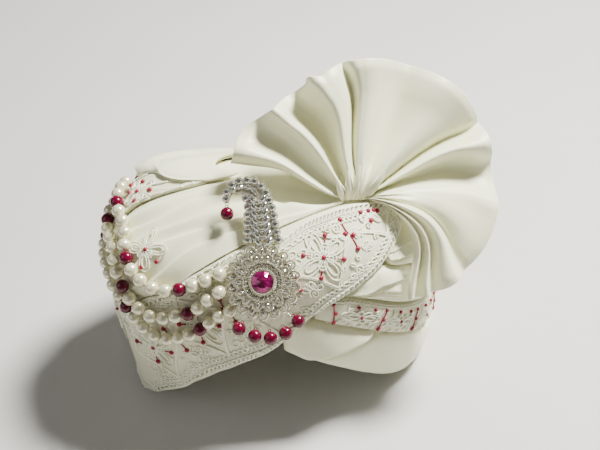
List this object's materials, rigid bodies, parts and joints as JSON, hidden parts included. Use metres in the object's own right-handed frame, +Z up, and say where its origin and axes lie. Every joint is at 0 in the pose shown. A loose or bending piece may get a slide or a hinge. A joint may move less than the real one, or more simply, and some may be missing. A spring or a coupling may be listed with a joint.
{
  "type": "tied turban",
  "caption": "Ready-tied ceremonial turban: wound crown, embroidered front bands, padded back rolls, a pleated side fan, draped pearl strings and a hooked stone brooch",
  "frame": {"origin": "centre of the bounding box in plan, on the floor the turban stands on", "axes": "+Z up, the front peak faces -Y, the wearer's left side, with the fan and the brooch, is +X"},
  "size_m": [0.2342, 0.2768, 0.2517],
  "materials": {
    "ivory_cloth": "matt woven silk",
    "ivory_satin": "soft satin silk",
    "embroidered_cloth": "raised cord embroidery with magenta knots on ivory silk",
    "pearl": "lustrous imitation pearl",
    "silver_and_stones": "bright silver with clear stones",
    "magenta_stone": "clear cut stone",
    "magenta_bead": "polished bead"
  },
  "bodies": {
    "root": {"crown": "ivory_cloth", "left_front_band": "embroidered_cloth", "right_front_band": "embroidered_cloth", "pleated_front": "ivory_satin", "right_wrap": "ivory_satin", "lower_roll": "ivory_satin", "embroidered_roll": "embroidered_cloth", "middle_roll": "ivory_satin", "upper_roll": "ivory_satin", "fan": "ivory_satin", "fan_knot": "ivory_satin", "pearl_strand_1": "pearl", "pearl_strand_2": "pearl", "pearl_strand_3": "pearl", "jewel": "silver_and_stones", "centre_stone": "magenta_stone", "drop_bead_1": "magenta_bead", "drop_bead_2": "magenta_bead", "drop_bead_3": "magenta_bead", "drop_bead_4": "magenta_bead", "drop_bead_5": "magenta_bead", "hook_bead": "magenta_bead", "far_clasp": "silver_and_stones"}
  },
  "joints": []
}
